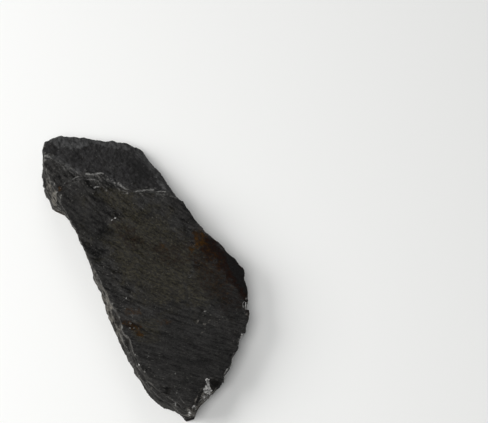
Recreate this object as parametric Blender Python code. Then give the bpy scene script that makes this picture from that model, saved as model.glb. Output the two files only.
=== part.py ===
"""A riven slab of black slate, lying on its flatter cleavage face.

The stone is one piece: nothing on it was made or fixed. X runs across the slab, Y runs along it
towards its broken end, and Z points out of the weathered face. The origin is on the surface that
the slab rests on, under the middle of its box.

Lengths are in millimetres until they are put into a mesh, which is in metres.
"""

import math

import bmesh
import bpy
from mathutils import Vector, geometry, noise

MM = 0.001

# The slab's thickness under the middle of its face, and how much thinner it gets to the right
MID_THICKNESS = 16.5
FACE_FALL = 0.04

# The worn right side of the face: how far it droops at the edge, over what width, and where it starts
EDGE_DROOP = 1.4
EDGE_DROOP_WIDTH = 13.0
DROOP_START = -8.0
DROOP_RAMP = 20.0

# Unevenness of the stone. Each one is its height, the length of its lumps, and its place in the noise.
FACE_WAVE = (0.9, 34.0, 2.7)
SIDE_SWAY = (0.5, 26.0, 6.2)
SIDE_WANDER = (1.5, 24.0, 0.0)
LEDGES = (3.4, 13.0, 1.3)
LEDGE_PATCHES = (0.9, 38.0, 11.6)
SIDE_JAGS = (1.1, 4.5, 0.4)
BREAK_JAGS_X = (1.1, 4.5, 9.4)
BREAK_JAGS_Y = (1.1, 4.5, 7.8)
COARSE_GRIT = (1.0, 6.5, 12.3)
FINE_GRIT = (0.5, 2.9, 3.1)
BITE_LUMPS = (0.10, 0.45)
SCATTER_X = (1.0, 5.3, 8.1)
SCATTER_Y = (1.0, 5.3, 4.9)

# Beds that show on the sides, from the bottom up, each a share of the thickness there, and the
# narrow step from one to the next
BEDS = (3.3, 1.0, 1.7, 3.5, 1.1, 2.7, 1.3, 1.9)
PARTING = 0.2

# How far apart two neighbouring beds read the wander, the ledges and the jags of the sides
WANDER_DRIFT = 0.42
LEDGE_DRIFT = 3.7
JAG_DRIFT = 5.9

# Ledges stand back where their patch is strong, and no bed stands out further than this
LEDGE_LEVEL = 0.55
FLUSH = 0.35

# The sides lose their roughness towards the face's edge: how fast, and how much is left there
FADE_RATE = 3.0
FADE_LEAST = 0.12
JAG_LEAST = 0.45

# Spacing of the points round the sides, inside the face, and round and inside what broke off
RIM_STEP = 3.1
FACE_STEP = 7.0
CUT_STEP = 2.6
FLAKE_STEP = 2.0
SCAR_STEP = 1.5
BROKEN_FACE_STEP = 2.2

# Points inside an outline are shifted by this share of their spacing, and keep clear of its edge
SCATTER = 0.3
EDGE_CLEARANCE = 0.45
ROW_STARTS = (0.1, 0.5)

# The edge of the weathered face, anticlockwise from the tip. The third number is how far the foot
# of the side stands out there, or is undercut where it is negative.
EDGE = (
    (-11.0, -85.6, 0.3),
    (-6.4, -87.8, -1.6),
    (-0.9, -84.0, -3.8),
    (5.3, -81.0, -4.8),
    (12.6, -77.1, -4.6),
    (19.2, -69.1, -5.0),
    (24.3, -63.7, -6.0),
    (27.7, -58.5, -6.5),
    (32.6, -55.1, -7.0),
    (37.1, -43.9, -8.0),
    (40.2, -33.2, -9.0),
    (42.5, -22.0, -9.0),
    (39.7, -15.8, -8.0),
    (36.4, -7.3, -7.0),
    (32.7, -0.3, -6.0),
    (29.1, 7.3, -6.0),
    (26.5, 16.5, -7.0),
    (23.8, 31.0, -6.0),
    (22.6, 37.8, -5.0),
    (18.8, 56.0, -4.0),
    (14.4, 69.7, -3.0),
    (7.4, 74.4, -3.0),
    (0.4, 78.0, -3.0),
    (-5.2, 79.4, -4.0),
    (-12.8, 84.0, -4.0),
    (-26.0, 89.2, -3.0),
    (-32.0, 88.9, -2.0),
    (-36.4, 86.5, -1.0),
    (-38.0, 81.6, 0.0),
    (-38.2, 75.0, 1.5),
    (-39.9, 70.0, 2.5),
    (-39.0, 60.0, 3.6),
    (-38.6, 51.0, 3.0),
    (-38.2, 45.0, -2.6),
    (-36.3, 36.4, -3.6),
    (-34.2, 22.8, -3.2),
    (-33.1, 9.7, -2.0),
    (-31.6, -0.4, 0.4),
    (-29.8, -10.6, 1.2),
    (-28.4, -28.8, 2.2),
    (-27.6, -39.4, 1.8),
    (-27.2, -54.1, 0.8),
    (-25.8, -62.0, -0.2),
    (-20.6, -72.4, 0.2),
    (-15.0, -79.8, 0.6),
)

# Where the top bed is broken off across the slab, in two steps, from the left edge rightwards.
# An outline that leaves the slab runs round outside it.
SHELF_LINE = (
    (-52.0, 50.0),
    (-37.5, 51.8),
    (-33.7, 53.8),
    (-22.1, 56.4),
    (-14.0, 58.0),
    (-14.0, 90.0),
    (-52.0, 90.0),
)
BREAK_LINE = (
    (-52.0, 76.0),
    (-38.2, 74.9),
    (-33.9, 74.9),
    (-31.1, 69.0),
    (-27.3, 63.2),
    (-23.3, 58.6),
    (-18.3, 56.9),
    (-12.4, 56.2),
    (-10.6, 51.0),
    (-5.1, 45.4),
    (-0.3, 41.4),
    (9.3, 38.6),
    (17.8, 33.8),
    (34.0, 30.2),
    (34.0, 96.0),
    (-52.0, 96.0),
)
SHELF_DEPTH = 1.7
SHELF_GRIT = 0.3
SHELF_LEAN = 1.6
BREAK_DEPTH = 2.2
BREAK_GRIT = 0.7
BREAK_LEAN = 4.2

# The broken end falls away from the face: its slope, where that starts, and the way it goes
BREAK_SLOPE = 0.165
BREAK_START = (17.0, 33.0)
BREAK_WAY = (0.5, 0.866)

# Thinner flakes that came away along the break: how deep each goes, and its outline
BREAK_FLAKES = (
    (0.8, ((-20.5, 57.0), (-11.0, 56.5), (-8.6, 50.0), (-3.0, 43.0), (4.0, 39.5),
           (-3.6, 38.4), (-8.8, 42.4), (-13.4, 47.0), (-19.6, 50.8))),
    (1.4, ((-24.5, 58.0), (-12.0, 57.5), (-9.6, 51.0), (-5.0, 45.5), (-9.0, 45.4),
           (-13.8, 51.0), (-21.6, 54.2))),
    (0.9, ((2.0, 41.0), (20.0, 35.0), (26.0, 30.0), (19.4, 28.8), (13.0, 33.0), (6.4, 33.8))),
    (0.9, ((-52.0, 48.6), (-37.6, 47.6), (-31.4, 50.6), (-28.0, 56.4), (-34.6, 55.0), (-52.0, 56.0))),
)
FLAKE_GRIT = 0.2
FLAKE_LEAN = 1.0

# The flaked strip that runs up the right edge beside the broken end: it keeps within a little of
# the face and of the broken end, and tilts out to the right from a line
STRIP_LINE = (
    (23.4, 26.4),
    (19.3, 32.2),
    (15.9, 44.7),
    (13.9, 53.7),
    (10.2, 63.9),
    (4.0, 70.0),
    (10.0, 82.0),
    (40.0, 60.0),
    (40.0, 24.0),
)
STRIP_START = (19.3, 32.2)
STRIP_WAY = (0.955, 0.297)
STRIP_SHOULDER = 0.6
STRIP_SLOPE = 0.62
STRIP_OVER_FACE = 0.4
STRIP_OVER_BREAK = 0.5
STRIP_GRIT = 0.3

# Thin beds flaked away along the lower left edge, one inside the other
LOWER_LEDGE_LINE = (
    (-36.0, -32.0),
    (-27.6, -42.0),
    (-25.8, -52.0),
    (-25.0, -58.4),
    (-22.6, -64.2),
    (-18.4, -70.8),
    (-14.6, -72.2),
    (-11.4, -77.2),
    (-10.2, -84.0),
    (-9.0, -100.0),
    (-40.0, -80.0),
)
SECOND_LEDGE_LINE = (
    (-36.0, -8.0),
    (-29.4, -19.0),
    (-27.8, -30.0),
    (-27.0, -42.0),
    (-26.5, -55.0),
    (-24.2, -63.6),
    (-19.6, -72.4),
    (-13.6, -80.0),
    (-12.0, -88.0),
    (-30.0, -100.0),
    (-42.0, -60.0),
)
LOWER_LEDGE_DEPTH = 1.3
LOWER_LEDGE_GRIT = 0.2
LOWER_LEDGE_LEAN = 1.0
SECOND_LEDGE_DEPTH = 3.4
SECOND_LEDGE_GRIT = 0.3
SECOND_LEDGE_LEAN = 0.8

# The fresh notch beside the tip, from its apex on the face: its floor starts a little below the
# face, falls one way, and curves down to its full depth at its reach
NOTCH_LINE = (
    (5.2, -73.1),
    (10.9, -76.8),
    (16.0, -86.0),
    (0.0, -98.0),
    (-9.5, -93.0),
    (-8.4, -86.6),
)
NOTCH_WAY = (0.709, -0.704)
NOTCH_START = 0.5
NOTCH_DEPTH = 5.4
NOTCH_REACH = 8.5
NOTCH_CURVE = 0.75
NOTCH_GRIT = 0.5
NOTCH_LEAN = 0.8

# Steps lean back by their lean over this rise
LEAN_RISE = 3.0

# Small flake scars on the face, sharp at one end and feathering out towards the other: the place
# of the middle, the way it feathers out in degrees from X, its length and width, and its depth
FACE_SCARS = (
    (-17.6, 37.4, -118.0, 7.0, 9.5, 0.75),
    (-12.8, 27.2, -140.0, 3.4, 5.2, 0.5),
    (13.2, -42.4, -60.0, 7.5, 9.0, 0.5),
    (-35.0, 23.0, -88.0, 24.0, 7.0, 0.6),
)
SCAR_CORNERS = 14
SCAR_FEATHERS_AT = 0.65

# The outline of a scar bulges and dips this many times on its way round, by this share of its size
SCAR_LOBES = 3
SCAR_BULGE = 0.24
SCAR_GRIT = 0.1

# Shallow scars under the slab, where it doesn't touch the ground: how deep, and the outline
UNDER_SCARS = (
    (1.7, ((-30.0, 96.0), (-24.0, 58.0), (-14.0, 47.0), (-6.0, 49.0), (1.0, 38.0),
           (14.0, 33.0), (40.0, 30.0), (40.0, 96.0))),
    (1.1, ((60.0, -8.0), (22.0, -6.0), (16.0, -19.0), (19.0, -31.0), (11.0, -40.0),
           (14.0, -52.0), (60.0, -60.0))),
    (1.4, ((-60.0, 12.0), (-26.0, 10.0), (-21.0, 2.0), (-24.0, -9.0), (-19.0, -17.0),
           (-25.0, -27.0), (-60.0, -30.0))),
)
UNDER_GRIT = 0.5

# Shell-shaped bites out of the face's edge: a place on the edge, radius and depth
BITES = (
    (-1.0, -85.0, 5.0, 1.4),
    (16.5, -72.8, 6.0, 1.7),
    (21.8, -66.3, 5.0, 1.4),
    (27.2, -59.2, 4.5, 1.3),
    (33.2, -53.6, 6.5, 1.4),
    (38.6, -39.0, 9.0, 1.6),
    (41.2, -28.0, 6.0, 1.2),
    (37.9, -11.3, 9.0, 0.8),
    (27.7, 12.2, 9.0, 0.7),
    (-34.6, 26.0, 12.0, 0.6),
    (-32.2, 3.5, 8.0, 0.9),
    (-28.9, -21.5, 7.0, 0.9),
    (-37.9, 46.5, 5.0, 1.2),
)
BITE_LIFT = math.radians(24)

# Bites out of the broken end's lower edge, with the height of each before its radius and depth
END_BITES = (
    (-31.0, 89.6, 11.5, 7.0, 1.8),
    (-19.0, 87.4, 10.5, 6.0, 1.5),
    (-2.4, 79.6, 9.0, 8.0, 2.2),
    (12.2, 71.4, 9.5, 6.0, 1.6),
)

SLATE_COLOUR = (0.0225, 0.0215, 0.0205, 1.0)
SLATE_ROUGHNESS = 0.52

# Clear of the slab, above and below
ABOVE = 40.0
BELOW = -12.0


def clear_scene():
    for item in list(bpy.data.objects):
        bpy.data.objects.remove(item, do_unlink=True)


def ripple(x, y, wave, shift=0.0):
    """Smooth noise of one of the kinds of unevenness, read further along by the shift."""
    height, length, place = wave
    return height * noise.noise(Vector((x / length, y / length, place + shift)))


def grit(x, y, height):
    """The roughness of a broken face."""
    return height * (ripple(x, y, COARSE_GRIT) + ripple(x, y, FINE_GRIT))


def along(x, y, start, way):
    """How far a point is from a start, the way given."""
    return (x - start[0]) * way[0] + (y - start[1]) * way[1]


def distance_to_edge(x, y):
    """How far a point on the face is from its edge."""
    best = ABOVE
    for (ax, ay, _), (bx, by, _) in zip(EDGE, EDGE[1:] + EDGE[:1]):
        run = Vector((bx - ax, by - ay))
        share = Vector((x - ax, y - ay)).dot(run) / run.length_squared
        near = Vector((ax, ay)) + run * min(1.0, max(0.0, share))
        best = min(best, (Vector((x, y)) - near).length)
    return best


def face_height(x, y):
    """The weathered face: nearly flat, a little wavy, and worn down towards its right edge."""
    worn = max(0.0, 1.0 - distance_to_edge(x, y) / EDGE_DROOP_WIDTH)
    to_right = min(1.0, max(0.0, (x - DROOP_START) / DROOP_RAMP))
    return MID_THICKNESS - FACE_FALL * x + ripple(x, y, FACE_WAVE) - EDGE_DROOP * worn * worn * to_right


def walk(stations, step):
    """Points at an even step along the straight runs of a ring of stations, every number blended."""
    points = []
    for start, end in zip(stations, stations[1:] + stations[:1]):
        a, b = Vector(start), Vector(end)
        count = max(1, round((b - a).xy.length / step))
        points += [a.lerp(b, k / count) for k in range(count)]
    return points


def outward(points, index, reach=1):
    """The direction out of an anticlockwise ring at one of its points."""
    run = points[(index + reach) % len(points)] - points[index - reach]
    return Vector((run.y, -run.x)).normalized()


def runs_anticlockwise(points):
    return sum(a.x * b.y - b.x * a.y for a, b in zip(points, points[1:] + points[:1])) > 0


def is_inside(x, y, ring):
    """True if a point is inside a ring of points."""
    hit = False
    for a, b in zip(ring, ring[1:] + ring[:1]):
        if (a.y > y) != (b.y > y) and x < a.x + (b.x - a.x) * (y - a.y) / (b.y - a.y):
            hit = not hit
    return hit


def scattered(ring, step):
    """Points inside a ring, in rows that are a little disturbed, clear of the ring's own points."""
    low = Vector((min(p.x for p in ring), min(p.y for p in ring)))
    high = Vector((max(p.x for p in ring), max(p.y for p in ring)))
    rise = step * math.sin(math.radians(60))
    points = []
    for row in range(math.ceil((high.y - low.y) / rise)):
        y = low.y + step / 2 + row * rise
        first = low.x + step * ROW_STARTS[row % 2]
        for column in range(math.ceil((high.x - first) / step)):
            x = first + column * step
            place = Vector((x + SCATTER * step * ripple(x, y, SCATTER_X),
                            y + SCATTER * step * ripple(x, y, SCATTER_Y)))
            clear = min((place - p).length for p in ring) > EDGE_CLEARANCE * step
            if clear and is_inside(place.x, place.y, ring):
                points.append(place)
    return points


def fill(bm, ring, height, step):
    """Covers a ring of vertices with triangles whose inner corners follow a height function."""
    flat = [v.co.xy / MM for v in ring]
    points = flat + scattered(flat, step)
    outline = [list(range(len(flat)))]
    places, _, triangles, sources, _, _ = geometry.delaunay_2d_cdt(points, [], outline, 1, 1e-5)
    corners = []
    for place, source in zip(places, sources):
        own = [k for k in source if k < len(ring)]
        if own:
            corners.append(ring[own[0]])
        else:
            corners.append(bm.verts.new(Vector((place.x, place.y, height(place.x, place.y))) * MM))
    for triangle in triangles:
        bm.faces.new([corners[k] for k in triangle])
    bmesh.ops.delete(bm, geom=[v for v in corners if not v.link_faces], context="VERTS")


def bridge(bm, lower, upper):
    """Joins two rings of as many vertices with a band of faces."""
    for k in range(len(lower)):
        after = (k + 1) % len(lower)
        bm.faces.new((lower[k], lower[after], upper[after], upper[k]))


def finished_object(name, bm):
    bmesh.ops.recalc_face_normals(bm, faces=bm.faces)
    mesh = bpy.data.meshes.new(name)
    bm.to_mesh(mesh)
    bm.free()
    made = bpy.data.objects.new(name, mesh)
    bpy.context.scene.collection.objects.link(made)
    return made


def cutter_object(name, bm):
    made = finished_object(name, bm)
    made.hide_render = True
    made.display_type = "WIRE"
    return made


def bed_ring(bm, points, share, bed):
    """Vertices round the side at a share of the thickness, on the broken edge of one of the beds."""
    fade = min(1.0, FADE_RATE * (1.0 - share) + FADE_LEAST)
    ring = []
    for index, point in enumerate(points):
        x, y, flare = point
        wander = fade * ripple(x, y, SIDE_WANDER, WANDER_DRIFT * bed)
        patch = LEDGE_LEVEL + ripple(x, y, LEDGE_PATCHES)
        ledge = fade * patch * ripple(x, y, LEDGES, LEDGE_DRIFT * bed)
        jag = (JAG_LEAST + (1.0 - JAG_LEAST) * fade) * ripple(x, y, SIDE_JAGS, JAG_DRIFT * bed)
        out = flare * (1.0 - share) + wander + min(FLUSH, ledge) + jag
        place = point.xy + outward(points, index) * out
        sway = math.sin(math.pi * share) * ripple(x, y, SIDE_SWAY)
        height = face_height(place.x, place.y) * share + sway
        ring.append(bm.verts.new(Vector((place.x, place.y, height)) * MM))
    return ring


def block():
    """The whole slab before anything broke off it, with the edges of its beds round the side."""
    points = walk(EDGE, RIM_STEP)
    total = sum(BEDS)
    bm = bmesh.new()
    rings = []
    low = 0.0
    for bed, thickness in enumerate(BEDS):
        high = low + thickness
        bottom = 0.0 if bed == 0 else (low + PARTING) / total
        top = 1.0 if bed == len(BEDS) - 1 else (high - PARTING) / total
        rings.append(bed_ring(bm, points, bottom, bed))
        rings.append(bed_ring(bm, points, top, bed))
        low = high
    for lower, upper in zip(rings, rings[1:]):
        bridge(bm, lower, upper)
    bm.faces.new(rings[0])
    fill(bm, rings[-1], face_height, FACE_STEP)
    return finished_object("slab", bm)


def sheet_cutter(name, line, height, reach, step=CUT_STEP, lean=0.0):
    """What broke off above, or below, a rough surface: a plug with a jagged outline that reaches
    clear of the slab. The step round it leans back as it rises."""
    points = walk(tuple((x, y, 0.0) for x, y in line), step)
    side = lean if runs_anticlockwise(points) else -lean
    rise = math.copysign(LEAN_RISE, reach)
    bm = bmesh.new()
    near, lip, far = [], [], []
    for index, point in enumerate(points):
        x = point.x + ripple(point.x, point.y, BREAK_JAGS_X)
        y = point.y + ripple(point.x, point.y, BREAK_JAGS_Y)
        back = Vector((x, y)) + outward(points, index, 2) * side
        floor = height(x, y)
        near.append(bm.verts.new(Vector((x, y, floor)) * MM))
        lip.append(bm.verts.new(Vector((back.x, back.y, floor + rise)) * MM))
        far.append(bm.verts.new(Vector((back.x, back.y, reach)) * MM))
    bridge(bm, near, lip)
    bridge(bm, lip, far)
    bm.faces.new(far)
    fill(bm, near, height, BROKEN_FACE_STEP * step)
    return cutter_object(name, bm)


def bite_cutter(name, x, y, z, radius, depth):
    """A shell-shaped bite out of an edge at a place: the part of a lumpy ball that reaches in."""
    points = [Vector((a, b, 0.0)) for a, b, _ in EDGE]
    nearest = min(range(len(points)), key=lambda k: (points[k].xy - Vector((x, y))).length)
    out = outward(points, nearest) * math.cos(BITE_LIFT)
    middle = Vector((x, y, z)) + Vector((out.x, out.y, math.sin(BITE_LIFT))) * (radius - depth)
    lump_height, lump_length = BITE_LUMPS
    bm = bmesh.new()
    bmesh.ops.create_icosphere(bm, subdivisions=3, radius=radius * MM)
    for corner in bm.verts:
        lump = lump_height * noise.noise(corner.co / (lump_length * radius * MM) + middle)
        corner.co = corner.co * (1.0 + lump) + middle * MM
    return cutter_object(name, bm)


def shelf_height(x, y):
    return face_height(x, y) - SHELF_DEPTH + grit(x, y, SHELF_GRIT)


def break_height(x, y):
    """The broken end: a rough plane that falls away from the face towards the end."""
    fall = BREAK_SLOPE * max(0.0, along(x, y, BREAK_START, BREAK_WAY))
    return MID_THICKNESS - FACE_FALL * x - BREAK_DEPTH - fall + grit(x, y, BREAK_GRIT)


def strip_height(x, y):
    """The flaked strip, tilted out towards the right edge."""
    start = min(face_height(x, y) + STRIP_OVER_FACE, break_height(x, y) + STRIP_OVER_BREAK)
    fall = STRIP_SLOPE * max(0.0, along(x, y, STRIP_START, STRIP_WAY) + STRIP_SHOULDER)
    return start - fall + grit(x, y, STRIP_GRIT)


def lower_ledge_height(x, y):
    return face_height(x, y) - LOWER_LEDGE_DEPTH + grit(x, y, LOWER_LEDGE_GRIT)


def second_ledge_height(x, y):
    return face_height(x, y) - SECOND_LEDGE_DEPTH + grit(x, y, SECOND_LEDGE_GRIT)


def notch_height(x, y):
    """The notch's floor: shallow along its left side, then curving down to the side of the slab."""
    share = max(0.0, along(x, y, NOTCH_LINE[0], NOTCH_WAY)) / NOTCH_REACH
    return face_height(x, y) - NOTCH_START - NOTCH_DEPTH * share**NOTCH_CURVE + grit(x, y, NOTCH_GRIT)


def scar_cutter(name, x, y, turn, length, width, depth):
    """A flake scar, deepest at its sharp end, whose floor rises to the face towards the other end."""
    way = Vector((math.cos(math.radians(turn)), math.sin(math.radians(turn))))
    across = Vector((-way.y, way.x))
    line = []
    for corner in range(SCAR_CORNERS):
        angle = math.tau * corner / SCAR_CORNERS
        size = (1.0 + SCAR_BULGE * math.sin(SCAR_LOBES * angle + x)) / 2
        place = way * (length * size * math.cos(angle)) + across * (width * size * math.sin(angle))
        line.append((x + place.x, y + place.y))
    sharp_end = Vector((x, y)) - way * (length / 2)

    def height(px, py):
        share = along(px, py, sharp_end, way) / (SCAR_FEATHERS_AT * length)
        return face_height(px, py) - depth * (1.0 - share) + grit(px, py, SCAR_GRIT)

    return sheet_cutter(name, tuple(line), height, ABOVE, SCAR_STEP)


def flake_cutter(name, depth, line):
    def height(x, y):
        return face_height(x, y) - depth + grit(x, y, FLAKE_GRIT)

    return sheet_cutter(name, line, height, ABOVE, FLAKE_STEP, FLAKE_LEAN)


def under_cutter(name, depth, line):
    def height(x, y):
        return depth + grit(x, y, UNDER_GRIT)

    return sheet_cutter(name, line, height, BELOW)


def broken_off():
    """Everything that came away from the slab, in the order it is taken off."""
    made = [
        sheet_cutter("shelf", SHELF_LINE, shelf_height, ABOVE, lean=SHELF_LEAN),
        sheet_cutter("broken_end", BREAK_LINE, break_height, ABOVE, lean=BREAK_LEAN),
        sheet_cutter("edge_strip", STRIP_LINE, strip_height, ABOVE),
        sheet_cutter("lower_ledge", LOWER_LEDGE_LINE, lower_ledge_height, ABOVE, lean=LOWER_LEDGE_LEAN),
        sheet_cutter("second_ledge", SECOND_LEDGE_LINE, second_ledge_height, ABOVE, lean=SECOND_LEDGE_LEAN),
        sheet_cutter("notch", NOTCH_LINE, notch_height, ABOVE, lean=NOTCH_LEAN),
    ]
    made += [flake_cutter(f"break_flake_{k}", *flake) for k, flake in enumerate(BREAK_FLAKES)]
    made += [scar_cutter(f"face_scar_{k}", *scar) for k, scar in enumerate(FACE_SCARS)]
    for k, (x, y, radius, depth) in enumerate(BITES):
        made.append(bite_cutter(f"bite_{k}", x, y, face_height(x, y), radius, depth))
    made += [bite_cutter(f"end_bite_{k}", *bite) for k, bite in enumerate(END_BITES)]
    made += [under_cutter(f"under_scar_{k}", *scar) for k, scar in enumerate(UNDER_SCARS)]
    return made


def slate():
    made = bpy.data.materials.new("slate")
    made.use_nodes = True
    shader = made.node_tree.nodes["Principled BSDF"]
    shader.inputs["Base Color"].default_value = SLATE_COLOUR
    shader.inputs["Roughness"].default_value = SLATE_ROUGHNESS
    shader.inputs["Metallic"].default_value = 0.0
    return made


def centre_on_origin(slab, others):
    """Hangs everything on one empty, moved so that the finished slab's box stands on the origin."""
    bpy.context.view_layer.update()
    finished = slab.evaluated_get(bpy.context.evaluated_depsgraph_get())
    corners = [v.co for v in finished.data.vertices]
    low = Vector(min(c[k] for c in corners) for k in range(3))
    high = Vector(max(c[k] for c in corners) for k in range(3))
    place = bpy.data.objects.new("slab_origin", None)
    bpy.context.scene.collection.objects.link(place)
    for item in (slab, *others):
        item.parent = place
    place.location = (-(low.x + high.x) / 2, -(low.y + high.y) / 2, -low.z)
    bpy.context.view_layer.update()


def main():
    clear_scene()
    slab = block()
    slab.data.materials.append(slate())
    cutters = broken_off()
    for cutter in cutters:
        cut = slab.modifiers.new(cutter.name, "BOOLEAN")
        cut.operation = "DIFFERENCE"
        cut.object = cutter
    centre_on_origin(slab, cutters)


main()
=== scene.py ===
import math
from itertools import product

import bpy
import numpy as np
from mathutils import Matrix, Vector


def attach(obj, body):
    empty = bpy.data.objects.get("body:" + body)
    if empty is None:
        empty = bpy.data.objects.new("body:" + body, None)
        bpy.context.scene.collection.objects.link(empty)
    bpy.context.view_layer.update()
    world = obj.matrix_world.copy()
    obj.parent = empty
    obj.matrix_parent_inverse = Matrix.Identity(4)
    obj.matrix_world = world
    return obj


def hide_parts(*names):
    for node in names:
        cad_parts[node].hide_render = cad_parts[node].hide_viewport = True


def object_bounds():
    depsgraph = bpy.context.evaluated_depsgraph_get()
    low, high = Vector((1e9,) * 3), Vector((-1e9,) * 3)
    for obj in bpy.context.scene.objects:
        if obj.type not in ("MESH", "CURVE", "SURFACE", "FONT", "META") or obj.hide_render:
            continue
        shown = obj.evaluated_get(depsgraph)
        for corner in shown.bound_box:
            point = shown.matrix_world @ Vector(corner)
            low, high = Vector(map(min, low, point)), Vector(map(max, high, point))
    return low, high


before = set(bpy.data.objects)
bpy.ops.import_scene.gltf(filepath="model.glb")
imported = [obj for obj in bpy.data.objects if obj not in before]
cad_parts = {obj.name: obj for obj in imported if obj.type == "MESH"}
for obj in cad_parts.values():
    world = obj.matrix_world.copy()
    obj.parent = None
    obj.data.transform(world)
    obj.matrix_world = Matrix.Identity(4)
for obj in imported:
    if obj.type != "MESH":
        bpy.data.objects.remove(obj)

mm = 0.001
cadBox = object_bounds()


# Studio: the camera stands where the photograph's stood, over a pale floor under soft light.
# Azimuth 0 looks along +Y, and a light's azimuth is the side that it shines from. Lengths are in
# metres, and the lens is in millimetres.
studio = {
    "cameraPlace": (-55.6 * mm, -305.55 * mm, 640.3 * mm),
    "azimuth": -19.0,
    "elevation": 62.0,
    "lens": 100.0,
    "nearest": 0.01,             # the camera sees nothing that is closer than this
    "floorSide": 6.0,
    "floorColour": "#f2f2f0",
    "floorRoughness": 0.9,
    "skyColour": "#f4f6f8",
    "skyStrength": 0.22,
    "lights": (
        {"name": "leftSoftbox", "azimuth": -110.0, "elevation": 32.0, "distance": 1.1,
         "size": 0.7, "watts": 9.5},
        {"name": "overhead", "azimuth": -40.0, "elevation": 64.0, "distance": 1.4,
         "size": 0.8, "watts": 9.0},
        {"name": "backSoftbox", "azimuth": 165.0, "elevation": 30.0, "distance": 1.2,
         "size": 0.5, "watts": 2.5},
    ),
}


def linearColour(hexCode):
    # an sRGB hex value as the linear colour that a shader takes
    channels = [int(hexCode[k:k + 2], 16) / 255 for k in (1, 3, 5)]
    return tuple(c / 12.92 if c <= 0.04045 else ((c + 0.055) / 1.055) ** 2.4 for c in channels) + (1.0,)


def awayFrom(azimuth, elevation):
    # the direction from the slab towards a camera or a light
    a, e = math.radians(azimuth), math.radians(elevation)
    return Vector((math.sin(a) * math.cos(e), -math.cos(a) * math.cos(e), math.sin(e)))


def addNode(tree, kind, settings=None, links=None, **choices):
    # settings are values on its sockets, links are what feeds them, and choices are its own options
    node = tree.nodes.new(kind)
    for name, value in choices.items():
        setattr(node, name, value)
    for socket, value in (settings or {}).items():
        node.inputs[socket].default_value = value
    for socket, source in (links or {}).items():
        tree.links.new(source, node.inputs[socket])
    return node


def newMaterial(name):
    material = bpy.data.materials.new(name)
    material.use_nodes = True
    material.node_tree.nodes.clear()
    return material, material.node_tree


def addStudio():
    scene = bpy.context.scene
    scene.view_settings.view_transform = "Standard"

    back = awayFrom(studio["azimuth"], studio["elevation"])
    bpy.ops.object.camera_add(location=studio["cameraPlace"])
    camera = bpy.context.object
    camera.rotation_mode = "QUATERNION"
    camera.rotation_quaternion = (-back).to_track_quat("-Z", "Y")
    camera.data.lens = studio["lens"]
    camera.data.clip_start = studio["nearest"]
    scene.camera = camera

    for settings in studio["lights"]:
        way = awayFrom(settings["azimuth"], settings["elevation"])
        bpy.ops.object.light_add(type="AREA", location=way * settings["distance"])
        light = bpy.context.object
        light.name = settings["name"]
        light.rotation_mode = "QUATERNION"
        light.rotation_quaternion = (-way).to_track_quat("-Z", "Y")
        light.data.shape = "SQUARE"
        light.data.size = settings["size"]
        light.data.energy = settings["watts"]

    world = bpy.data.worlds.new("paleSky")
    world.use_nodes = True
    sky = world.node_tree.nodes["Background"]
    sky.inputs["Color"].default_value = linearColour(studio["skyColour"])
    sky.inputs["Strength"].default_value = studio["skyStrength"]
    scene.world = world

    bpy.ops.mesh.primitive_plane_add(size=studio["floorSide"])
    floor = bpy.context.object
    floor.name = "floor"
    paper, tree = newMaterial("matt_paper")  # seamless white background paper: quite matt
    shader = addNode(tree, "ShaderNodeBsdfPrincipled", {
        "Base Color": linearColour(studio["floorColour"]), "Roughness": studio["floorRoughness"]})
    addNode(tree, "ShaderNodeOutputMaterial", links={"Surface": shader.outputs[0]})
    floor.data.materials.append(paper)
    print("studio: camera, floor and", len(studio["lights"]), "lights")


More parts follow.
